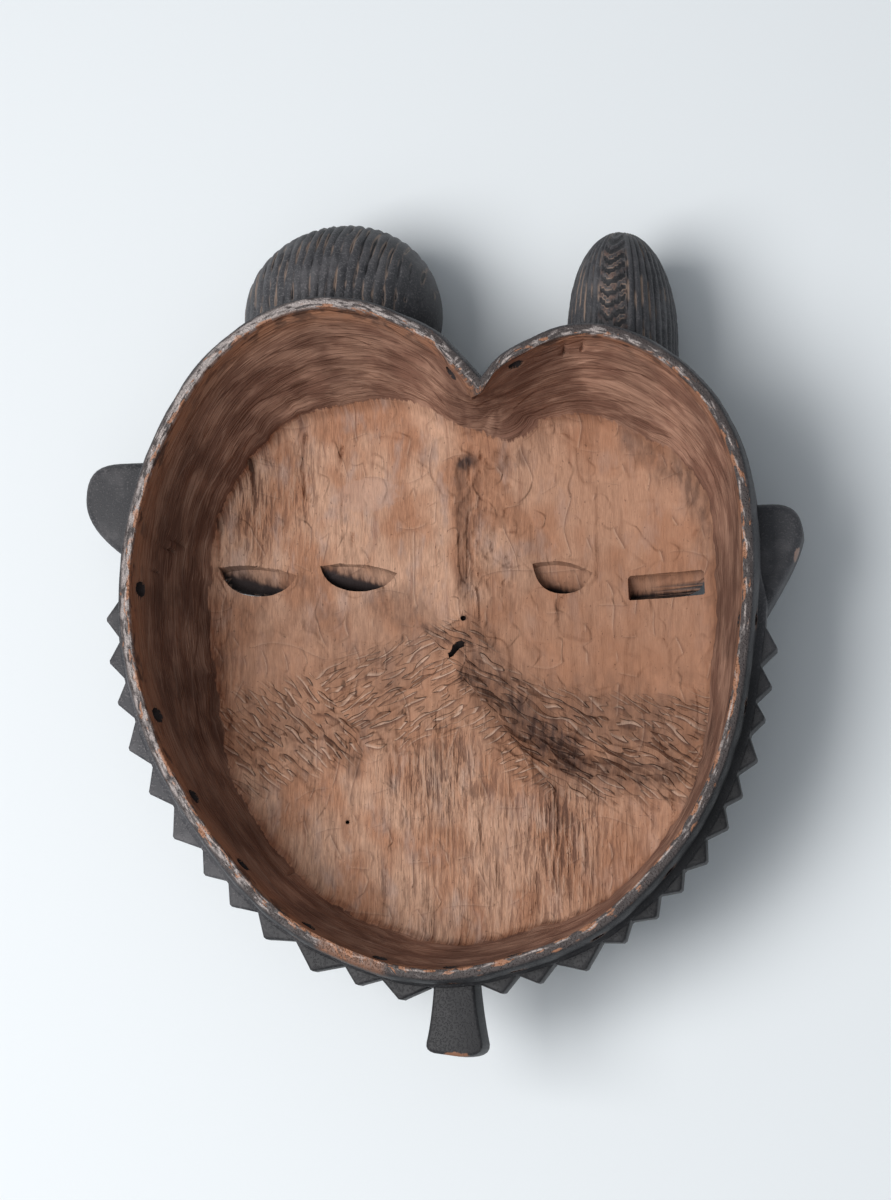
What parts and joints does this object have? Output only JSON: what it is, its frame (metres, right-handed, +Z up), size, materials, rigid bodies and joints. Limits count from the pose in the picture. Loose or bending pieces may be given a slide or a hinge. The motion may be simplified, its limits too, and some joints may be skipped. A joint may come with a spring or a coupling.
{
  "type": "twin-faced wooden mask",
  "caption": "Twin-faced carved wooden mask, worn before the face, with a deep heart-shaped hollow, hair buns, ears, a toothed collar and a flared peg below.",
  "frame": {"origin": "centre of the bounding box in X and Y, at the height of the table that the noses and buns lie on", "axes": "+Y from the peg to the hair buns, +X to the right as the wearer looks at the hollow, +Z up from the faces to the rim"},
  "size_m": [0.27, 0.3188, 0.086],
  "materials": {
    "carved_wood": "blackened outside with a worn rim, bare tool-marked wood in the hollow"
  },
  "bodies": {
    "root": {"mask": "carved_wood"}
  },
  "joints": []
}
